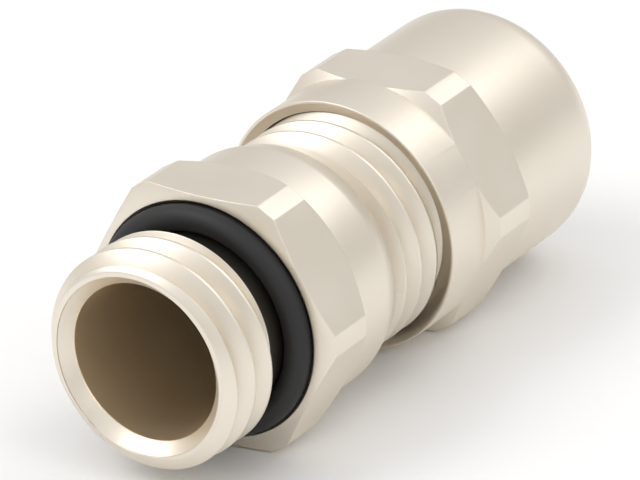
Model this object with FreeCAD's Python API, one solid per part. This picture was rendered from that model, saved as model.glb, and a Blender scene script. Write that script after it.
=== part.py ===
"""Cable gland M12 x 1.5 in nickel-plated brass, with the dome nut backed off three turns.

Millimetres, +Z up. The gland lies along Y: the connecting thread points to -Y and the dome
to +Y. The origin is the centre of the sealing face, the plane that meets the enclosure wall.
Every piece is turned about Z first and then laid along Y by lay_down().
"""
import FreeCAD
import Part
import math
import os

os.makedirs("parts", exist_ok=True)

# Threads: one pitch for both, sharp 60 degree form with a small crest flat.
# The shift sets where the nut thread's crests fall, alike on the body and in the nut.
PITCH = 1.5
THREAD_DEPTH = 0.613 * PITCH
CREST_FLAT = PITCH / 8
FLANK_SLOPE = math.tan(math.radians(30))
RIDGE_FOOT = 0.1
BLANK_ALLOWANCE = 0.01
CONNECTION_R = 6.0
NUT_THREAD_R = 6.35
THREAD_PLAY = 0.10
NUT_THREAD_SHIFT = 0.16
RUN_IN = 0.5

# Gland body, stations along the axis measured from the sealing face
CONNECTION_END = -6.3
CONNECTION_THREAD_END = -1.95
CONNECTION_RUN_OUT = 0.25
BORE_R = 4.35
BORE_MOUTH_R = 5.05
RIM_R = 5.25
RIM_CHAMFER = 0.8
UNDERCUT_R = 5.0
RECESS_DEPTH = 0.55
RECESS_R = 6.1
LIP_R = 6.62
BODY_HEX_END = 3.9
BODY_HEX_CHAMFERS = (0.30, 0.75)
NECK_R = 6.95
NECK_END = 6.6
BEVEL_R = 6.6
BEVEL_END = 7.8
NUT_THREAD_START = 8.6
MOUTH = 18.0
MOUTH_R = 4.75
MOUTH_DEPTH = 6.0
MOUTH_CHAMFER = 0.3
MOUTH_THREAD_CHAMFER = 0.7

# Both hexagons: across the flats, and across the turned-off corners
ACROSS_FLATS = 14.0
ACROSS_CORNERS = 15.5

# Connection O-ring
RING_CORD_R = 0.72
RING_MEAN_R = 5.75
RING_Y = RECESS_DEPTH - RING_CORD_R

# Dome nut
NUT_RIM = 12.6
NUT_RIM_BEVEL = 0.08
NUT_SKIRT_R = 7.1
NUT_MOUTH_R = 6.95
NUT_COUNTERSINK_DEPTH = 1.0
NUT_HEX_START = 15.7
NUT_HEX_END = 19.7
NUT_HEX_CHAMFERS = (0.52, 0.52)
NUT_THREAD_END = 18.6
NUT_RELIEF_R = 6.5
NUT_RELIEF_END = 23.0
NUT_RELIEF_SLOPE = 0.45
NUT_CAVITY_R = 6.05
NUT_CAVITY_END = 27.6
NUT_CAVITY_CHAMFER = 0.8
DOME_R = 6.95
DOME_END = 28.6
DOME_FILLET = 2.4
OUTLET_R = 3.6
OUTLET_FILLET = 0.45

# Thrust ring, which the nut pushes along without turning it
RING_MOUTH = 23.2
RING_PLAY = 0.08
CONE_R = 4.98
CONE_ANGLE = 10.0
LEAD_IN = 1.7
LEAD_IN_R = 5.2
RING_BEVEL = 0.2
RING_END_CHAMFER = 0.9

# Clamping insert: a cage ring in the body's mouth, and its fingers
CAGE_START = 14.0
CAGE_R = MOUTH_R - 0.03
CAGE_BORE_R = 4.1
FLANGE_START = MOUTH + 0.02
FLANGE_R = 5.4
FLANGE_END = 18.6
FINGER_COUNT = 8
FINGER_START = 18.85
FINGER_END = 22.95
FINGER_R = 4.95
FINGER_BORE_R = 4.25
FINGER_ROOT_WIDTH = 3.2
FINGER_TIP_WIDTH = 2.3
FINGER_TIP_CHAMFER = 0.3

# Seal insert
SEAL_START = 12.1
SEAL_COLLAR_END = CAGE_START - 0.02
SEAL_COLLAR_R = MOUTH_R - 0.05
SEAL_R = CAGE_BORE_R - 0.03
SEAL_TAPER_START = 18.6
SEAL_END = 21.2
SEAL_END_R = 3.7
SEAL_BORE_R = 3.25

# How far cutting and joining shapes reach past the faces they meet
REACH = 1.0
EDGE_MATCH = 0.01
AXIS = FreeCAD.Vector(0, 0, 1)
CENTRE = FreeCAD.Vector(0, 0, 0)


def turned(outline):
    """Solid turned about the axis from an outline of (radius, station) points."""
    points = [FreeCAD.Vector(r, 0, s) for r, s in outline]
    face = Part.Face(Part.makePolygon(points + points[:1]))
    return face.revolve(CENTRE, AXIS, 360)


def cylinder(radius, start, end):
    return Part.makeCylinder(radius, end - start, FreeCAD.Vector(0, 0, start), AXIS)


def hexagon(across, start, end, first_corner_deg):
    """Hexagonal prism with its first corner at an angle from X."""
    corner_r = across / 2 / math.cos(math.radians(30))
    points = []
    for side in range(6):
        angle = math.radians(first_corner_deg + 60 * side)
        points.append(FreeCAD.Vector(corner_r * math.cos(angle), corner_r * math.sin(angle), start))
    face = Part.Face(Part.makePolygon(points + points[:1]))
    return face.extrude(FreeCAD.Vector(0, 0, end - start))


def spanner_hex(start, end, chamfers):
    """Hexagon with flats facing up and down, flattened corners and chamfered ends."""
    flats = hexagon(ACROSS_FLATS, start, end, 0)
    corners = hexagon(ACROSS_CORNERS, start, end, 30)
    face_r = ACROSS_FLATS / 2
    rise = ACROSS_CORNERS / 2 - face_r
    front, rear = chamfers
    blank = turned([
        (0, start), (face_r, start), (face_r + 2 * rise, start + 2 * front),
        (face_r + 2 * rise, end - 2 * rear), (face_r, end), (0, end)])
    return flats.common(corners).common(blank)


def thread_ridge(crest_r, foot_r, start, end, shift=0, growth=0):
    """Helical ridge for a right-hand thread; growth widens it into the cutter for a nut.

    Its phase depends only on the station and the shift, so a screw and a nut with the
    same shift mesh.
    """
    first_turn = math.floor(start / PITCH) - 1
    turns = math.ceil(end / PITCH) + 1 - first_turn
    origin = first_turn * PITCH + shift
    tip_r = crest_r + growth
    half_crest = CREST_FLAT / 2 + growth * (1 - FLANK_SLOPE)
    half_foot = half_crest + FLANK_SLOPE * (tip_r - foot_r)
    corners = [(foot_r, -half_foot), (tip_r, -half_crest), (tip_r, half_crest), (foot_r, half_foot)]
    points = [FreeCAD.Vector(r, 0, origin + s) for r, s in corners]
    profile = Part.makePolygon(points + points[:1])
    helix = Part.makeLongHelix(PITCH, turns * PITCH, crest_r, 0)
    helix.translate(FreeCAD.Vector(0, 0, origin))
    sweep = Part.BRepOffsetAPI.MakePipeShell(Part.Wire(helix.Edges))
    sweep.setFrenetMode(True)
    sweep.add(profile)
    sweep.build()
    sweep.makeSolid()
    return sweep.shape()


def circle_at(shape, radius, station):
    """The shape's circular edge of this radius at this station, as a list of one."""
    around = 2 * math.pi * radius
    found = []
    for edge in shape.Edges:
        if abs(edge.CenterOfMass.z - station) < EDGE_MATCH and abs(edge.Length - around) < EDGE_MATCH:
            found.append(edge)
    return found[:1]


def lay_down(shape):
    """Turn a piece made along Z so that it lies along Y."""
    laid = shape.copy()
    laid.rotate(CENTRE, FreeCAD.Vector(1, 0, 0), -90)
    return laid


def connection_stud():
    """Connecting thread with its chamfered end and the undercut behind it."""
    blank_r = CONNECTION_R + BLANK_ALLOWANCE
    blank = turned([
        (0, CONNECTION_END), (RIM_R, CONNECTION_END),
        (blank_r, CONNECTION_END + RIM_CHAMFER),
        (blank_r, CONNECTION_THREAD_END - CONNECTION_RUN_OUT),
        (UNDERCUT_R, CONNECTION_THREAD_END), (0, CONNECTION_THREAD_END)])
    root_r = CONNECTION_R - THREAD_DEPTH
    core = cylinder(root_r, CONNECTION_END - REACH, CONNECTION_THREAD_END + REACH)
    ridge = thread_ridge(CONNECTION_R, root_r - RIDGE_FOOT, CONNECTION_END, CONNECTION_THREAD_END)
    stem = cylinder(UNDERCUT_R, CONNECTION_THREAD_END - REACH, REACH)
    return core.fuse(ridge).common(blank).fuse(stem)


def nut_stud():
    """Thread for the dome nut, from the relief groove to the body's mouth."""
    root_r = NUT_THREAD_R - THREAD_DEPTH
    blank_r = NUT_THREAD_R + BLANK_ALLOWANCE
    blank = turned([
        (0, NUT_THREAD_START), (root_r, NUT_THREAD_START), (blank_r, NUT_THREAD_START + RUN_IN),
        (blank_r, MOUTH - MOUTH_THREAD_CHAMFER), (root_r, MOUTH), (0, MOUTH)])
    core = cylinder(root_r + BLANK_ALLOWANCE, NUT_THREAD_START - REACH, MOUTH + REACH)
    ridge = thread_ridge(NUT_THREAD_R, root_r - RIDGE_FOOT, NUT_THREAD_START, MOUTH, NUT_THREAD_SHIFT)
    stem = cylinder(root_r, BEVEL_END - REACH, NUT_THREAD_START + REACH)
    return core.fuse(ridge).common(blank).fuse(stem)


def gland_body():
    neck = turned([
        (0, BODY_HEX_END - REACH), (NECK_R, BODY_HEX_END - REACH), (NECK_R, NECK_END),
        (BEVEL_R, BEVEL_END), (0, BEVEL_END)])
    middle = spanner_hex(0, BODY_HEX_END, BODY_HEX_CHAMFERS).fuse(neck)
    recess = turned([
        (UNDERCUT_R, 0), (LIP_R, 0), (RECESS_R, RECESS_DEPTH), (UNDERCUT_R, RECESS_DEPTH)])
    outside = middle.cut(recess).fuse(connection_stud()).fuse(nut_stud())
    mouth_floor = MOUTH - MOUTH_DEPTH
    bore = turned([
        (0, CONNECTION_END - REACH), (BORE_MOUTH_R + REACH, CONNECTION_END - REACH),
        (BORE_MOUTH_R, CONNECTION_END), (BORE_R, CONNECTION_END + BORE_MOUTH_R - BORE_R),
        (BORE_R, mouth_floor), (MOUTH_R, mouth_floor), (MOUTH_R, MOUTH - MOUTH_CHAMFER),
        (MOUTH_R + MOUTH_CHAMFER, MOUTH), (MOUTH_R + MOUTH_CHAMFER, MOUTH + REACH),
        (0, MOUTH + REACH)])
    return outside.cut(bore)


def connection_o_ring():
    return Part.makeTorus(RING_MEAN_R, RING_CORD_R, FreeCAD.Vector(0, 0, RING_Y), AXIS)


def cage_ring():
    """Ring of the clamping insert, held in the body's mouth by its flange."""
    return turned([
        (CAGE_BORE_R, CAGE_START), (CAGE_R - RING_BEVEL, CAGE_START), (CAGE_R, CAGE_START + RING_BEVEL),
        (CAGE_R, FLANGE_START), (FLANGE_R, FLANGE_START), (FLANGE_R, FLANGE_END),
        (CAGE_BORE_R, FLANGE_END)])


def finger(index):
    """One clamping finger: a strip of a tube, narrower at its tip, at its own angle."""
    ring = turned([
        (FINGER_BORE_R, FINGER_START), (FINGER_R, FINGER_START),
        (FINGER_R, FINGER_END - FINGER_TIP_CHAMFER), (FINGER_R - FINGER_TIP_CHAMFER, FINGER_END),
        (FINGER_BORE_R, FINGER_END)])
    half_root = FINGER_ROOT_WIDTH / 2
    half_tip = FINGER_TIP_WIDTH / 2
    points = [
        FreeCAD.Vector(0, -half_root, FINGER_START), FreeCAD.Vector(0, half_root, FINGER_START),
        FreeCAD.Vector(0, half_tip, FINGER_END), FreeCAD.Vector(0, -half_tip, FINGER_END)]
    side = Part.Face(Part.makePolygon(points + points[:1]))
    strip = side.extrude(FreeCAD.Vector(FINGER_R + REACH, 0, 0))
    shape = ring.common(strip)
    shape.rotate(CENTRE, AXIS, index * 360 / FINGER_COUNT)
    return shape


def seal_insert():
    """Elastomer sleeve: a collar against the floor of the mouth and a tapered nose."""
    return turned([
        (SEAL_BORE_R, SEAL_START), (SEAL_COLLAR_R, SEAL_START), (SEAL_COLLAR_R, SEAL_COLLAR_END),
        (SEAL_R, SEAL_COLLAR_END), (SEAL_R, SEAL_TAPER_START), (SEAL_END_R, SEAL_END),
        (SEAL_BORE_R, SEAL_END)])


def thrust_ring():
    """Ring with an inner cone that presses the finger tips inwards as it advances."""
    outer_r = NUT_CAVITY_R - RING_PLAY
    end = NUT_CAVITY_END - RING_PLAY
    taper = math.tan(math.radians(CONE_ANGLE))
    return turned([
        (CONE_R - LEAD_IN * taper, RING_MOUTH + LEAD_IN), (LEAD_IN_R, RING_MOUTH),
        (outer_r - RING_BEVEL, RING_MOUTH), (outer_r, RING_MOUTH + RING_BEVEL),
        (outer_r, end - RING_END_CHAMFER), (outer_r - RING_END_CHAMFER, end),
        (CONE_R - (end - RING_MOUTH) * taper, end)])


def dome_nut():
    skirt = turned([
        (0, NUT_RIM), (NUT_SKIRT_R - NUT_RIM_BEVEL, NUT_RIM), (NUT_SKIRT_R, NUT_RIM + NUT_RIM_BEVEL),
        (NUT_SKIRT_R, NUT_HEX_START + REACH), (0, NUT_HEX_START + REACH)])
    dome = cylinder(DOME_R, NUT_HEX_END - REACH, DOME_END)
    dome = dome.makeFillet(DOME_FILLET, circle_at(dome, DOME_R, DOME_END))
    outside = skirt.fuse(spanner_hex(NUT_HEX_START, NUT_HEX_END, NUT_HEX_CHAMFERS)).fuse(dome)
    minor_r = NUT_THREAD_R - THREAD_DEPTH + 1.5 * THREAD_PLAY
    cavity = turned([
        (0, NUT_RIM), (NUT_MOUTH_R, NUT_RIM), (minor_r, NUT_RIM + NUT_COUNTERSINK_DEPTH),
        (minor_r, NUT_THREAD_END - RUN_IN), (NUT_RELIEF_R, NUT_THREAD_END),
        (NUT_RELIEF_R, NUT_RELIEF_END - NUT_RELIEF_SLOPE),
        (NUT_CAVITY_R, NUT_RELIEF_END), (NUT_CAVITY_R, NUT_CAVITY_END - NUT_CAVITY_CHAMFER),
        (NUT_CAVITY_R - NUT_CAVITY_CHAMFER, NUT_CAVITY_END), (0, NUT_CAVITY_END)])
    outlet = cylinder(OUTLET_R, NUT_CAVITY_END - REACH, DOME_END + REACH)
    shell = outside.cut(cavity).cut(outlet)
    shell = shell.makeFillet(OUTLET_FILLET, circle_at(shell, OUTLET_R, DOME_END))
    cutter = thread_ridge(
        NUT_THREAD_R, minor_r - RIDGE_FOOT, NUT_RIM, NUT_THREAD_END, NUT_THREAD_SHIFT, THREAD_PLAY)
    window = cylinder(NUT_THREAD_R + REACH, NUT_RIM - REACH, NUT_THREAD_END + REACH)
    return shell.cut(cutter.common(window))


def save(name, shape):
    laid = lay_down(shape)
    laid.exportStep("parts/" + name + ".step")
    print(name, "valid", laid.isValid(), "solids", len(laid.Solids), "mm3", round(laid.Volume, 2))


save("gland_body", gland_body())
save("connection_o_ring", connection_o_ring())
save("cage_ring", cage_ring())
save("seal_insert", seal_insert())
save("thrust_ring", thrust_ring())
save("dome_nut", dome_nut())
for number in range(FINGER_COUNT):
    save("clamp_finger_" + str(number + 1), finger(number))
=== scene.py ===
import math
import bpy
from mathutils import Matrix, Vector


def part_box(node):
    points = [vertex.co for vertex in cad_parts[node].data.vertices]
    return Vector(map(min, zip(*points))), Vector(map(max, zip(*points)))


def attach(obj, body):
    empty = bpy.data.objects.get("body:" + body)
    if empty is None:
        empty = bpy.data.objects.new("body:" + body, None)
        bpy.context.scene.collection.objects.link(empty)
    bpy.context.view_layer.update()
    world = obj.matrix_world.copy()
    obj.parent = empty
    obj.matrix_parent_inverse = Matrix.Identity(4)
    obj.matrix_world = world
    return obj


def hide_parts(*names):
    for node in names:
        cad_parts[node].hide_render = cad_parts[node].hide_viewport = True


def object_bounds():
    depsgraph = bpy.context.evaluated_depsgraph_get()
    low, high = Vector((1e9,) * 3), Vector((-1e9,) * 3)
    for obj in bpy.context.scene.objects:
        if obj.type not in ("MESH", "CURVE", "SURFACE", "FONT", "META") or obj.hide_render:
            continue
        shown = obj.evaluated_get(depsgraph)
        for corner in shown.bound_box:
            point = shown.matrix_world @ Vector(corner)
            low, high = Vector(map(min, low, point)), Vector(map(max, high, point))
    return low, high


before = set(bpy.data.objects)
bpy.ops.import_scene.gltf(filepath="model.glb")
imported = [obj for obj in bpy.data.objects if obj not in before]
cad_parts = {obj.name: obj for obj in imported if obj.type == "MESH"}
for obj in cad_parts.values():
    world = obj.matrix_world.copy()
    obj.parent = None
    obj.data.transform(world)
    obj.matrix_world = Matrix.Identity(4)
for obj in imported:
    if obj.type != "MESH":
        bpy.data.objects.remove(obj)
cad_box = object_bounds()


# ---- Gland body -------------------------------------------------------------------------
# Turned from hexagonal brass bar on a lathe, threaded at both ends, then nickel plated.
# The enclosure end carries the M12 thread and the O-ring seat, the other end the nut thread.

MM = 0.001
ROUND = 160
PITCH = 1.5 * MM
THREAD_DEPTH = 0.613 * PITCH
CREST_FLAT = PITCH / 8
FLANK_SLOPE = math.tan(math.radians(30))
SAME_PLACE, SAME_THREAD_PLACE = 1e-7, 1e-8
FILLET_FROM, EDGE_STEPS, FILLET_STEPS = 0.2, 2, 8

nut_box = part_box("dome_nut")
ring_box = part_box("connection_o_ring")
body_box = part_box("gland_body")
body_end_y = body_box[0][1]
body_mouth_y = body_box[1][1]
across_flats = body_box[1][2] - body_box[0][2]
across_corners = body_box[1][0] - body_box[0][0]


def begin_piece():
    """Leave edit mode and deselect everything, so that the next operator meets only its piece."""
    if bpy.context.object and bpy.context.object.mode == "EDIT":
        bpy.ops.object.mode_set(mode="OBJECT")
    bpy.ops.object.select_all(action="DESELECT")


def pick(piece):
    """Make one piece the active and only selected one."""
    begin_piece()
    piece.select_set(True)
    bpy.context.view_layer.objects.active = piece


def apply_modifier(piece, kind, **settings):
    """Give the piece a modifier with these settings and apply it."""
    pick(piece)
    bpy.ops.object.modifier_add(type=kind)
    modifier = piece.modifiers[-1]
    for key, value in settings.items():
        setattr(modifier, key, value)
    bpy.ops.object.modifier_apply(modifier=modifier.name)


def outline_loop(name, outline):
    """Closed wire in the plane of the axis; each point is (radius, station, edge radius) in mm."""
    begin_piece()
    bpy.ops.mesh.primitive_circle_add(vertices=len(outline), radius=MM)
    loop = bpy.context.object
    loop.name = name
    for corner, (radius, station, rounding) in zip(loop.data.vertices, outline):
        corner.co = (radius * MM, station * MM, 0)
    for size in sorted({point[2] for point in outline if point[2] > 0}):
        chosen = [(p[0] * MM, p[1] * MM) for p in outline if p[2] == size]
        bpy.ops.object.mode_set(mode="EDIT")
        bpy.ops.mesh.select_all(action="DESELECT")
        bpy.ops.object.mode_set(mode="OBJECT")
        for corner in loop.data.vertices:
            for radius, station in chosen:
                if abs(corner.co.x - radius) < SAME_PLACE and abs(corner.co.y - station) < SAME_PLACE:
                    corner.select = True
        bpy.ops.object.mode_set(mode="EDIT")
        segments = EDGE_STEPS if size < FILLET_FROM else FILLET_STEPS
        bpy.ops.mesh.bevel(affect="VERTICES", offset=size * MM, segments=segments, profile=0.5)
        bpy.ops.object.mode_set(mode="OBJECT")
    return loop


def turn(name, outline):
    """Solid of revolution about the gland's axis, spun from its outline."""
    piece = outline_loop(name, outline)
    bpy.ops.object.mode_set(mode="EDIT")
    bpy.ops.mesh.select_all(action="SELECT")
    bpy.ops.mesh.spin(steps=ROUND, angle=math.tau, center=(0, 0, 0), axis=(0, 1, 0))
    bpy.ops.mesh.select_all(action="SELECT")
    bpy.ops.mesh.remove_doubles(threshold=SAME_PLACE)
    bpy.ops.mesh.normals_make_consistent(inside=False)
    bpy.ops.object.mode_set(mode="OBJECT")
    return piece


def thread_ridge(name, crest, foot, start, end, shift=0, growth=0):
    """Helical ridge, right-handed, in mm; growth widens it into the cutter for a nut."""
    first_turn = math.floor(start * MM / PITCH) - 1
    turns = math.ceil(end * MM / PITCH) + 1 - first_turn
    pitch = PITCH / MM
    origin = first_turn * pitch + shift
    tip = crest + growth
    half_crest = CREST_FLAT / MM / 2 + growth * (1 - FLANK_SLOPE)
    half_foot = half_crest + FLANK_SLOPE * (tip - foot)
    piece = outline_loop(name, [
        (foot, origin - half_foot, 0), (tip, origin - half_crest, CREST_ROUNDING),
        (tip, origin + half_crest, CREST_ROUNDING), (foot, origin + half_foot, 0)])
    apply_modifier(piece, "SCREW", axis="Y", angle=math.tau, screw_offset=PITCH,
                   iterations=turns, steps=ROUND, render_steps=ROUND, use_normal_calculate=True)
    bpy.ops.object.mode_set(mode="EDIT")
    bpy.ops.mesh.select_all(action="SELECT")
    bpy.ops.mesh.remove_doubles(threshold=SAME_THREAD_PLACE)
    bpy.ops.mesh.select_all(action="DESELECT")
    bpy.ops.mesh.select_non_manifold()
    bpy.ops.mesh.edge_face_add()
    bpy.ops.mesh.select_all(action="SELECT")
    bpy.ops.mesh.normals_make_consistent(inside=False)
    bpy.ops.object.mode_set(mode="OBJECT")
    return piece


def combine(piece, tool, how):
    """Boolean of two closed pieces; the tool is used up."""
    apply_modifier(piece, "BOOLEAN", operation=how, solver="EXACT", object=tool)
    bpy.data.objects.remove(tool)


def spanner_hex(name, start, end, chamfers, inner, front):
    """Hexagonal ring with flattened corners; front lists the outline points of its near face."""
    begin_piece()
    depth = (end - start) * MM
    bpy.ops.mesh.primitive_cylinder_add(
        vertices=6, radius=across_flats / 2 / math.cos(math.radians(30)), depth=depth,
        location=(0, (start + end) / 2 * MM, 0), rotation=(math.radians(90), math.radians(30), 0))
    piece = bpy.context.object
    piece.name = name
    bpy.ops.object.transform_apply()
    corner_cut = (across_flats / 2 / math.cos(math.radians(30)) - across_corners / 2) * 2
    for cut_back, steps in ((corner_cut, 1), (EDGE_ROUNDING * MM, 2)):
        bpy.ops.object.mode_set(mode="EDIT")
        bpy.ops.mesh.select_mode(type="EDGE")
        bpy.ops.mesh.select_all(action="DESELECT")
        bpy.ops.object.mode_set(mode="OBJECT")
        for edge in piece.data.edges:
            ends = [piece.data.vertices[i].co for i in edge.vertices]
            edge.select = abs(ends[0].y - ends[1].y) > depth / 2
        bpy.ops.object.mode_set(mode="EDIT")
        bpy.ops.mesh.bevel(affect="EDGES", offset=cut_back, segments=steps)
        bpy.ops.object.mode_set(mode="OBJECT")
    face = across_flats / 2 / MM
    reach = face + 2 * (across_corners / 2 / MM - face)
    blank = turn(name + "_blank", front + [
        (face, start, 0), (reach, start + 2 * chamfers[0], 0), (reach, end - 2 * chamfers[1], 0),
        (face, end, 0), (inner, end, 0)])
    combine(piece, blank, "INTERSECT")
    return piece


# Edge radii left by the cutting tool, in mm like every size below
CREST_ROUNDING = 0.05
EDGE_ROUNDING = 0.04
TURNED_EDGE = 0.05
SHARP_EDGE = 0.03
NECK_EDGE = 0.15
BEVEL_EDGE = 0.06

# Threads; the ridge's foot is sunk into the core and the blank stands proud of its crest.
# SINK keeps two faces from lying in one plane where pieces are joined.
CONNECTION_R = 6.0
NUT_THREAD_R = 6.35
THREAD_SHIFT = 0.16
FOOT_DEPTH = 0.1
BLANK_EXTRA = 0.05
SINK = 0.01

# Bore, undercut and O-ring seat at the enclosure end
BORE_R, BORE_CHAMFER = 4.35, 0.7
RIM_R, RIM_CHAMFER = 5.25, 0.8
UNDERCUT_R, UNDERCUT_START = 5.0, -1.92
THREAD_END, RUN_OUT = -1.95, 0.24
SEAT_R, LIP_R, SEAT_DEPTH = 6.1, 6.62, 0.55
CORE_R = 4.7

# Hexagon, neck and bevel
HEX_END, HEX_CHAMFERS = 3.9, (0.30, 0.75)
HEX_CORE_R, HEX_INNER_R = 6.3, 5.6
NECK_R, NECK_END = 6.95, 6.6
BEVEL_R, BEVEL_END = 6.6, 7.8
JOIN = 0.1

# Nut thread and mouth
NUT_THREAD_START, RUN_IN = 8.6, 0.55
MOUTH_R, MOUTH_CHAMFER, MOUTH_FLOOR = 4.75, 0.3, 12.0
MOUTH_THREAD_CHAMFER = 0.7
NUT_CORE_R = 5.2

connection_start = body_end_y / MM
mouth = body_mouth_y / MM
connection_root = CONNECTION_R - THREAD_DEPTH / MM
nut_root = NUT_THREAD_R - THREAD_DEPTH / MM

gland_body = turn("gland_body_finished", [
    (BORE_R, connection_start + BORE_CHAMFER, TURNED_EDGE),
    (BORE_R + BORE_CHAMFER, connection_start, SHARP_EDGE),
    (connection_root, connection_start, 0), (connection_root, UNDERCUT_START - RUN_OUT, 0),
    (UNDERCUT_R, UNDERCUT_START, 0), (UNDERCUT_R, SEAT_DEPTH + SINK, 0),
    (HEX_CORE_R, SEAT_DEPTH + SINK, 0), (HEX_CORE_R, HEX_END - JOIN, 0),
    (NECK_R, HEX_END - JOIN, 0), (NECK_R, NECK_END, NECK_EDGE), (BEVEL_R, BEVEL_END, BEVEL_EDGE),
    (nut_root, BEVEL_END, TURNED_EDGE), (nut_root, mouth, 0),
    (MOUTH_R + MOUTH_CHAMFER, mouth, SHARP_EDGE), (MOUTH_R, mouth - MOUTH_CHAMFER, 0),
    (MOUTH_R, MOUTH_FLOOR, 0), (BORE_R, MOUTH_FLOOR, 0)])

front_ridge = thread_ridge(
    "front_ridge", CONNECTION_R, connection_root - FOOT_DEPTH, connection_start, THREAD_END)
combine(front_ridge, turn("front_blank", [
    (CORE_R, connection_start, 0), (RIM_R, connection_start, TURNED_EDGE),
    (CONNECTION_R + BLANK_EXTRA, connection_start + RIM_CHAMFER, 0),
    (CONNECTION_R + BLANK_EXTRA, THREAD_END - RUN_OUT - SINK, 0),
    (UNDERCUT_R - 4 * SINK, THREAD_END + 2 * SINK, 0), (CORE_R, THREAD_END + 2 * SINK, 0)]), "INTERSECT")
combine(gland_body, front_ridge, "UNION")

rear_ridge = thread_ridge(
    "rear_ridge", NUT_THREAD_R, nut_root - FOOT_DEPTH, NUT_THREAD_START, mouth, THREAD_SHIFT)
combine(rear_ridge, turn("rear_blank", [
    (NUT_CORE_R, NUT_THREAD_START, 0), (nut_root, NUT_THREAD_START, 0),
    (NUT_THREAD_R + BLANK_EXTRA, NUT_THREAD_START + RUN_IN, 0),
    (NUT_THREAD_R + BLANK_EXTRA, mouth - MOUTH_THREAD_CHAMFER, 0),
    (nut_root, mouth - SINK, 0), (NUT_CORE_R, mouth - SINK, 0)]), "INTERSECT")
combine(gland_body, rear_ridge, "UNION")

body_hex = spanner_hex("body_hex", 0, HEX_END, HEX_CHAMFERS, HEX_INNER_R, [
    (HEX_INNER_R, SEAT_DEPTH, 0), (SEAT_R, SEAT_DEPTH, 0), (LIP_R, 0, 0)])
combine(gland_body, body_hex, "UNION")


# ---- Nickel plating ---------------------------------------------------------------------
# Bright nickel over brass: warm white metal with a satin lustre, fine rings left by the
# turning tool, and edges softened by tumbling before plating.

METAL_DARK, METAL_LIGHT = (0.80, 0.735, 0.635, 1), (0.86, 0.80, 0.705, 1)
# Bore wall colour: painted reflection. Undercut colour: painted shade, near black, standing in for the
# shadow beside the O-ring
BORE_PAINTED_REFLECTION, UNDERCUT_PAINTED_SHADE = (0.92, 0.80, 0.62, 1), (0.10, 0.08, 0.06, 1)
SATIN_LOW, SATIN_HIGH = 0.38, 0.46
TOOL_RING_SCALE, CLOUD_SCALE = 9000, 260
TOOL_RING_STRENGTH, TOOL_RING_HEIGHT, SOFT_EDGE = 0.12, 0.01, 0.06

# Painted reflection: the bore wall's browner tint ends just outside its wall. Painted shade: the undercut
# darkens towards the hexagon, standing in for shadow and the black O-ring's reflection
TINT_FULL, TINT_FADED = 0.03, 0.06
SHADE_INNER_R, SHADE_FROM, SHADE_TO, SHADE_MOST = 4.6, -3.4, -1.9, 0.80


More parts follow.
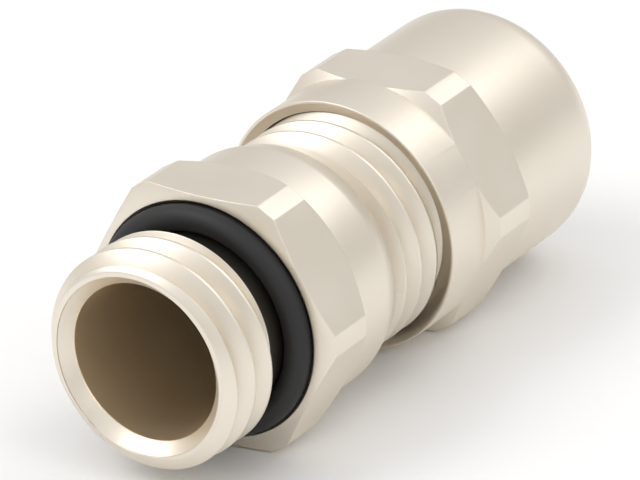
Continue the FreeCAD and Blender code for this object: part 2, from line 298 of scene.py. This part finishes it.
def nickel_plating(name, paint_bore_and_undercut):
    """Plated brass; with the second argument set, the body gets painted light: a browner bore wall as
    painted reflection and a dark undercut as painted shade.
    """
    material = bpy.data.materials.new(name)
    material.use_nodes = True
    nodes, links = material.node_tree.nodes, material.node_tree.links
    shader = nodes["Principled BSDF"]
    shader.inputs["Metallic"].default_value = 1.0
    place = nodes.new("ShaderNodeTexCoord")
    split = nodes.new("ShaderNodeSeparateXYZ")
    links.new(place.outputs["Object"], split.inputs[0])
    across = nodes.new("ShaderNodeCombineXYZ")
    links.new(split.outputs["X"], across.inputs["X"])
    links.new(split.outputs["Z"], across.inputs["Z"])
    radius = nodes.new("ShaderNodeVectorMath")
    radius.operation = "LENGTH"
    links.new(across.outputs[0], radius.inputs[0])
    ring_place = nodes.new("ShaderNodeCombineXYZ")
    links.new(split.outputs["Y"], ring_place.inputs["X"])
    links.new(radius.outputs["Value"], ring_place.inputs["Y"])
    rings = nodes.new("ShaderNodeTexNoise")
    rings.inputs["Scale"].default_value = TOOL_RING_SCALE
    rings.inputs["Detail"].default_value = 3
    links.new(ring_place.outputs[0], rings.inputs["Vector"])
    cloud = nodes.new("ShaderNodeTexNoise")
    cloud.inputs["Scale"].default_value = CLOUD_SCALE
    cloud.inputs["Detail"].default_value = 4
    links.new(place.outputs["Object"], cloud.inputs["Vector"])
    tint = nodes.new("ShaderNodeMixRGB")
    tint.inputs["Color1"].default_value = METAL_DARK
    tint.inputs["Color2"].default_value = METAL_LIGHT
    links.new(cloud.outputs["Fac"], tint.inputs["Fac"])
    links.new(tint.outputs["Color"], shader.inputs["Base Color"])
    if paint_bore_and_undercut:
        # Painted reflection: the bore wall gets a browner brass colour that stands in for the warm
        # reflections inside the bore
        inside = nodes.new("ShaderNodeMapRange")
        inside.inputs["From Min"].default_value = (BORE_R + TINT_FADED) * MM
        inside.inputs["From Max"].default_value = (BORE_R + TINT_FULL) * MM
        links.new(radius.outputs["Value"], inside.inputs["Value"])
        painted_bore_reflection = nodes.new("ShaderNodeMixRGB")
        painted_bore_reflection.inputs["Color2"].default_value = BORE_PAINTED_REFLECTION
        links.new(inside.outputs["Result"], painted_bore_reflection.inputs["Fac"])
        links.new(tint.outputs["Color"], painted_bore_reflection.inputs["Color1"])
        # Painted shade: the undercut is darkened towards near black where shadow and the O-ring's reflection
        # fall
        deep = nodes.new("ShaderNodeMapRange")
        deep.inputs["From Min"].default_value = SHADE_FROM * MM
        deep.inputs["From Max"].default_value = SHADE_TO * MM
        deep.inputs["To Max"].default_value = SHADE_MOST
        links.new(split.outputs["Y"], deep.inputs["Value"])
        narrow = nodes.new("ShaderNodeMapRange")
        narrow.inputs["From Min"].default_value = (UNDERCUT_R + TINT_FADED) * MM
        narrow.inputs["From Max"].default_value = (UNDERCUT_R + TINT_FULL) * MM
        links.new(radius.outputs["Value"], narrow.inputs["Value"])
        wide = nodes.new("ShaderNodeMath")
        wide.operation = "GREATER_THAN"
        wide.inputs[1].default_value = SHADE_INNER_R * MM
        links.new(radius.outputs["Value"], wide.inputs[0])
        hidden = nodes.new("ShaderNodeMath")
        hidden.operation = "MULTIPLY"
        links.new(narrow.outputs["Result"], hidden.inputs[0])
        links.new(wide.outputs["Value"], hidden.inputs[1])
        shaded = nodes.new("ShaderNodeMath")
        shaded.operation = "MULTIPLY"
        links.new(deep.outputs["Result"], shaded.inputs[0])
        links.new(hidden.outputs["Value"], shaded.inputs[1])
        painted_undercut_shade = nodes.new("ShaderNodeMixRGB")
        painted_undercut_shade.inputs["Color2"].default_value = UNDERCUT_PAINTED_SHADE
        links.new(shaded.outputs["Value"], painted_undercut_shade.inputs["Fac"])
        links.new(painted_bore_reflection.outputs["Color"], painted_undercut_shade.inputs["Color1"])
        links.new(painted_undercut_shade.outputs["Color"], shader.inputs["Base Color"])
    sheen_range = nodes.new("ShaderNodeMapRange")
    sheen_range.inputs["To Min"].default_value = SATIN_LOW
    sheen_range.inputs["To Max"].default_value = SATIN_HIGH
    links.new(cloud.outputs["Fac"], sheen_range.inputs["Value"])
    links.new(sheen_range.outputs["Result"], shader.inputs["Roughness"])
    rounded = nodes.new("ShaderNodeBevel")
    rounded.samples = 4
    rounded.inputs["Radius"].default_value = SOFT_EDGE * MM
    bump = nodes.new("ShaderNodeBump")
    bump.inputs["Strength"].default_value = TOOL_RING_STRENGTH
    bump.inputs["Distance"].default_value = TOOL_RING_HEIGHT * MM
    links.new(rings.outputs["Fac"], bump.inputs["Height"])
    links.new(rounded.outputs["Normal"], bump.inputs["Normal"])
    links.new(bump.outputs["Normal"], shader.inputs["Normal"])
    return material


SMOOTH_ANGLE = math.radians(22)


def finish_piece(piece, material, body, slot, *nodes):
    """Smooth the piece, give it its material, and let it ride in place of its design solids."""
    pick(piece)
    bpy.ops.object.shade_smooth_by_angle(angle=SMOOTH_ANGLE)
    piece.data.materials.clear()
    piece.data.materials.append(material)
    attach(piece, body)
    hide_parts(*nodes)


# The body's plating carries a painted reflection in the bore and painted shade in the undercut
finish_piece(gland_body, nickel_plating("nickel_plating_with_painted_light", True), "gland", "nickel_brass", "gland_body")


# ---- Connection O-ring ------------------------------------------------------------------
# Moulded black nitrile rubber, rolled over the thread into the recess of the hexagon, where
# it seals against the enclosure wall.

MOTTLE_SCALE = 700
MATT_SPREAD = 0.06
GRAIN_STRENGTH = 0.3


def moulded_material(name, low, high, roughness, grain_scale, grain_depth):
    """Moulded rubber or plastic: a mottled colour and a fine matt grain."""
    material = bpy.data.materials.new(name)
    material.use_nodes = True
    nodes, links = material.node_tree.nodes, material.node_tree.links
    shader = nodes["Principled BSDF"]
    place = nodes.new("ShaderNodeTexCoord")
    mottle = nodes.new("ShaderNodeTexNoise")
    mottle.inputs["Scale"].default_value = MOTTLE_SCALE
    mottle.inputs["Detail"].default_value = 5
    links.new(place.outputs["Object"], mottle.inputs["Vector"])
    tint = nodes.new("ShaderNodeMixRGB")
    tint.inputs["Color1"].default_value = (*low, 1)
    tint.inputs["Color2"].default_value = (*high, 1)
    links.new(mottle.outputs["Fac"], tint.inputs["Fac"])
    links.new(tint.outputs["Color"], shader.inputs["Base Color"])
    matt = nodes.new("ShaderNodeMapRange")
    matt.inputs["To Min"].default_value = roughness - MATT_SPREAD
    matt.inputs["To Max"].default_value = roughness + MATT_SPREAD
    links.new(mottle.outputs["Fac"], matt.inputs["Value"])
    links.new(matt.outputs["Result"], shader.inputs["Roughness"])
    grain = nodes.new("ShaderNodeTexNoise")
    grain.inputs["Scale"].default_value = grain_scale
    grain.inputs["Detail"].default_value = 3
    links.new(place.outputs["Object"], grain.inputs["Vector"])
    bump = nodes.new("ShaderNodeBump")
    bump.inputs["Strength"].default_value = GRAIN_STRENGTH
    bump.inputs["Distance"].default_value = grain_depth * MM
    links.new(grain.outputs["Fac"], bump.inputs["Height"])
    links.new(bump.outputs["Normal"], shader.inputs["Normal"])
    return material


cord_radius = (ring_box[1][1] - ring_box[0][1]) / 2
mean_radius = ring_box[1][0] - cord_radius
begin_piece()
bpy.ops.mesh.primitive_torus_add(
    major_radius=mean_radius, minor_radius=cord_radius, major_segments=ROUND, minor_segments=48,
    location=(0, (ring_box[0][1] + ring_box[1][1]) / 2, 0), rotation=(math.radians(90), 0, 0))
o_ring = bpy.context.object
o_ring.name = "o_ring_finished"
bpy.ops.object.transform_apply()
nitrile = moulded_material(
    "nitrile_rubber", low=(0.009, 0.009, 0.0095), high=(0.015, 0.015, 0.016), roughness=0.58,
    grain_scale=9000, grain_depth=0.01)
finish_piece(o_ring, nitrile, "gland", "black_rubber", "connection_o_ring")


# ---- Seal insert ------------------------------------------------------------------------
# Soft elastomer sleeve that grips the cable. Its collar sits on the floor of the body's
# mouth, its nose tapers under the fingers.

elastomer = moulded_material(
    "seal_elastomer", low=(0.022, 0.022, 0.024), high=(0.035, 0.035, 0.037), roughness=0.6,
    grain_scale=6000, grain_depth=0.012)
SEAL_BORE_R, SEAL_COLLAR_R, SEAL_R, SEAL_NOSE_R = 3.25, 4.7, 4.07, 3.7
SEAL_START, SEAL_COLLAR_END, SEAL_TAPER_START, SEAL_END = 12.1, 13.98, 18.6, 21.2
SEAL_EDGE, COLLAR_EDGE, TAPER_EDGE = 0.15, 0.1, 0.3
seal = turn("seal_insert_finished", [
    (SEAL_BORE_R, SEAL_START, SEAL_EDGE), (SEAL_COLLAR_R, SEAL_START, COLLAR_EDGE),
    (SEAL_COLLAR_R, SEAL_COLLAR_END, COLLAR_EDGE), (SEAL_R, SEAL_COLLAR_END, 0),
    (SEAL_R, SEAL_TAPER_START, TAPER_EDGE), (SEAL_NOSE_R, SEAL_END, SEAL_EDGE),
    (SEAL_BORE_R, SEAL_END, SEAL_EDGE)])
finish_piece(seal, elastomer, "gland", "seal_elastomer", "seal_insert")


# ---- Clamping insert --------------------------------------------------------------------
# Moulded polyamide: a ring held in the body's mouth by its flange, and eight fingers that
# bend inwards on thin webs when the cone of the thrust ring presses on their tips.

polyamide = moulded_material(
    "black_polyamide", low=(0.02, 0.02, 0.021), high=(0.032, 0.032, 0.033), roughness=0.5,
    grain_scale=5000, grain_depth=0.01)
CAGE_BORE_R, CAGE_R, FLANGE_R = 4.1, 4.72, 5.4
CAGE_START, FLANGE_START, FLANGE_END = 14.0, 18.02, 18.6
MOULDED_EDGE, CAGE_NOSE = 0.08, 0.2
cage = turn("cage_ring_finished", [
    (CAGE_BORE_R, CAGE_START, MOULDED_EDGE), (CAGE_R, CAGE_START, CAGE_NOSE), (CAGE_R, FLANGE_START, 0),
    (FLANGE_R, FLANGE_START, TURNED_EDGE), (FLANGE_R, FLANGE_END, COLLAR_EDGE),
    (CAGE_BORE_R, FLANGE_END, COLLAR_EDGE)])
finish_piece(cage, polyamide, "gland", "insert_plastic", "cage_ring")

FINGERS = 8
FINGER_START, FINGER_END = 18.85, 22.95
FINGER_BORE_R, FINGER_R, TIP_CHAMFER = 4.25, 4.95, 0.3
ROOT_WIDTH, TIP_WIDTH = 3.2, 2.3
finger_middle = (FINGER_START + FINGER_END) / 2
strip_length = FINGER_R + 1.05
for number in range(FINGERS):
    finger = turn("clamp_finger_%d_finished" % (number + 1), [
        (FINGER_BORE_R, FINGER_START, 0), (FINGER_R, FINGER_START, 0),
        (FINGER_R, FINGER_END, TIP_CHAMFER), (FINGER_BORE_R, FINGER_END, COLLAR_EDGE)])
    begin_piece()
    bpy.ops.mesh.primitive_cube_add(
        size=1, location=(strip_length / 2 * MM, finger_middle * MM, 0),
        scale=(strip_length * MM, (FINGER_END - FINGER_START) * MM, ROOT_WIDTH * MM))
    strip = bpy.context.object
    bpy.ops.object.transform_apply()
    for corner in strip.data.vertices:
        if corner.co.y > finger_middle * MM:
            corner.co.z *= TIP_WIDTH / ROOT_WIDTH
    combine(finger, strip, "INTERSECT")
    pick(finger)
    finger.rotation_euler = (0, number * math.tau / FINGERS, 0)
    bpy.ops.object.transform_apply()
    node = "clamp_finger_%d" % (number + 1)
    finish_piece(finger, polyamide, node, "insert_plastic", node)


# ---- Thrust ring ------------------------------------------------------------------------
# Moulded acetal ring lying in the dome; it slides with the nut without turning, and its
# inner cone closes the fingers.

acetal = moulded_material(
    "grey_acetal", low=(0.11, 0.11, 0.11), high=(0.15, 0.15, 0.15), roughness=0.4,
    grain_scale=4000, grain_depth=0.008)
RING_R, RING_END_R, CONE_R, LEAD_IN_R = 5.97, 4.22, 4.68, 5.2
RING_MOUTH, LEAD_IN_END, RING_END = 23.2, 24.9, 27.52
RING_MOUTH_EDGE, RING_SHOULDER = 0.2, 0.9
thrust = turn("thrust_ring_finished", [
    (CONE_R, LEAD_IN_END, TURNED_EDGE), (LEAD_IN_R, RING_MOUTH, TURNED_EDGE),
    (RING_R, RING_MOUTH, RING_MOUTH_EDGE), (RING_R, RING_END, RING_SHOULDER),
    (RING_END_R, RING_END, MOULDED_EDGE)])
finish_piece(thrust, acetal, "thrust_ring", "ring_plastic", "thrust_ring")


# ---- Dome nut ---------------------------------------------------------------------------
# Turned from the same brass bar and plated alike; its inner thread carries it along the body
# and its rounded dome holds the thrust ring over the fingers.

nut_rim = nut_box[0][1] / MM
dome_end = nut_box[1][1] / MM
NUT_PLAY = 0.10
nut_minor = nut_root + 1.5 * NUT_PLAY
NUT_MOUTH_R, NUT_MOUTH_EDGE, SKIRT_R, COUNTERSINK = 6.95, 0.02, 7.1, 1.0
NUT_HEX_START, NUT_HEX_END, NUT_HEX_CHAMFERS = 15.7, 19.7, (0.52, 0.52)
NUT_HEX_INNER_R, NUT_HEX_CORE_R = 6.6, 6.9
NUT_THREAD_END, THREAD_TAPER = 18.6, 0.5
RELIEF_R, RELIEF_END, RELIEF_SLOPE = 6.5, 23.0, 0.45
CAVITY_R, CAVITY_END, CAVITY_CHAMFER = 6.05, 27.6, 0.8
DOME_R, DOME_FILLET = 6.95, 2.4
OUTLET_R, OUTLET_FILLET = 3.6, 0.45
CUT_INNER_R, CUT_OUTER_R, CUT_END = 4.5, 6.8, 19.3

dome_nut = turn("dome_nut_finished", [
    (NUT_MOUTH_R, nut_rim, NUT_MOUTH_EDGE), (SKIRT_R, nut_rim, BEVEL_EDGE),
    (SKIRT_R, NUT_HEX_START + JOIN, 0), (NUT_HEX_CORE_R, NUT_HEX_START + JOIN, 0),
    (NUT_HEX_CORE_R, NUT_HEX_END - JOIN, 0), (DOME_R, NUT_HEX_END - JOIN, 0),
    (DOME_R, dome_end, DOME_FILLET), (OUTLET_R, dome_end, OUTLET_FILLET), (OUTLET_R, CAVITY_END, 0),
    (CAVITY_R - CAVITY_CHAMFER, CAVITY_END, 0), (CAVITY_R, CAVITY_END - CAVITY_CHAMFER, 0),
    (CAVITY_R, RELIEF_END, 0), (RELIEF_R, RELIEF_END - RELIEF_SLOPE, 0), (RELIEF_R, NUT_THREAD_END, 0),
    (nut_minor, NUT_THREAD_END - THREAD_TAPER, 0), (nut_minor, nut_rim + COUNTERSINK, 0)])
nut_hex = spanner_hex("nut_hex", NUT_HEX_START, NUT_HEX_END, NUT_HEX_CHAMFERS, NUT_HEX_INNER_R, [
    (NUT_HEX_INNER_R, NUT_HEX_START, 0)])
combine(dome_nut, nut_hex, "UNION")
nut_cutter = thread_ridge(
    "nut_cutter", NUT_THREAD_R, nut_minor - FOOT_DEPTH, nut_rim, NUT_THREAD_END, THREAD_SHIFT, NUT_PLAY)
combine(nut_cutter, turn("nut_blank", [
    (CUT_INNER_R, nut_rim - 1, 0), (CUT_OUTER_R, nut_rim - 1, 0),
    (CUT_OUTER_R, CUT_END, 0), (CUT_INNER_R, CUT_END, 0)]), "INTERSECT")
combine(dome_nut, nut_cutter, "DIFFERENCE")
finish_piece(dome_nut, nickel_plating("nickel_plating", False), "dome_nut", "nickel_brass", "dome_nut")


# ---- Floor, light and camera ------------------------------------------------------------
# A pale table under the gland, soft boxes in front, beside and behind it, an even pale
# surround, and a long lens.

TABLE_SIZE, TABLE_WHITE, TABLE_ROUGHNESS = 3.0, (0.9, 0.9, 0.9, 1), 0.9
begin_piece()
bpy.ops.mesh.primitive_plane_add(size=TABLE_SIZE, location=(0, 0, cad_box[0][2]))
table = bpy.context.object
table.name = "table"
pale = bpy.data.materials.new("pale_table")
pale.use_nodes = True
pale.node_tree.nodes["Principled BSDF"].inputs["Base Color"].default_value = TABLE_WHITE
pale.node_tree.nodes["Principled BSDF"].inputs["Roughness"].default_value = TABLE_ROUGHNESS
table.data.materials.append(pale)

AIM = Vector((0, 10.8 * MM, 0.16 * MM))


def soft_box(name, azimuth, elevation, distance, size, power):
    """Square area light aimed at the gland; azimuth 0 is in front of it, towards -Y."""
    turn_to, lift = math.radians(azimuth), math.radians(elevation)
    back = Vector((math.sin(turn_to) * math.cos(lift), -math.cos(turn_to) * math.cos(lift), math.sin(lift)))
    begin_piece()
    bpy.ops.object.light_add(type="AREA", location=AIM + back * distance)
    light = bpy.context.object
    light.name = name
    light.rotation_euler = back.to_track_quat("Z", "Y").to_euler()
    light.data.size = size
    light.data.energy = power


soft_box("key", azimuth=-50, elevation=48, distance=0.5, size=0.30, power=0.8)
soft_box("fill", azimuth=75, elevation=35, distance=0.6, size=0.25, power=0.35)
soft_box("back", azimuth=150, elevation=50, distance=0.6, size=0.30, power=0.45)

LOW_GLOW, HIGH_GLOW, HIGH_FROM = (0.62, 0.60, 0.57, 1), (0.95, 0.95, 0.95, 1), 0.75
SURROUND_STRENGTH = 0.93
world = bpy.data.worlds.new("studio")
bpy.context.scene.world = world
world.use_nodes = True
sky, sky_links = world.node_tree.nodes, world.node_tree.links
direction = sky.new("ShaderNodeTexCoord")
height = sky.new("ShaderNodeSeparateXYZ")
sky_links.new(direction.outputs["Generated"], height.inputs[0])
fade = sky.new("ShaderNodeValToRGB")
fade.color_ramp.elements[0].position = 0.0
fade.color_ramp.elements[0].color = LOW_GLOW
fade.color_ramp.elements[1].position = HIGH_FROM
fade.color_ramp.elements[1].color = HIGH_GLOW
sky_links.new(height.outputs["Z"], fade.inputs["Fac"])
sky_links.new(fade.outputs["Color"], sky["Background"].inputs["Color"])
sky["Background"].inputs["Strength"].default_value = SURROUND_STRENGTH
bpy.context.scene.view_settings.view_transform = "Standard"

CAMERA_AZIMUTH = math.radians(34.47)
CAMERA_ELEVATION = math.radians(25.13)
CAMERA_ROLL = math.radians(-3.2)
CAMERA_DISTANCE = 0.3535
LENS_MM, SENSOR_MM = 378, 36
CAMERA_SHIFT = Vector((-0.04 * MM, -0.19 * MM, 0))
back = Vector((math.sin(CAMERA_AZIMUTH) * math.cos(CAMERA_ELEVATION),
               -math.cos(CAMERA_AZIMUTH) * math.cos(CAMERA_ELEVATION), math.sin(CAMERA_ELEVATION)))
attitude = back.to_track_quat("Z", "Y").to_matrix() @ Matrix.Rotation(CAMERA_ROLL, 3, "Z")
sideways = attitude @ CAMERA_SHIFT
bpy.ops.object.camera_add(location=AIM + back * CAMERA_DISTANCE + sideways)
camera = bpy.context.object
camera.rotation_euler = attitude.to_euler()
camera.data.lens = LENS_MM
camera.data.sensor_width = SENSOR_MM
camera.data.clip_end = 10
bpy.context.scene.camera = camera
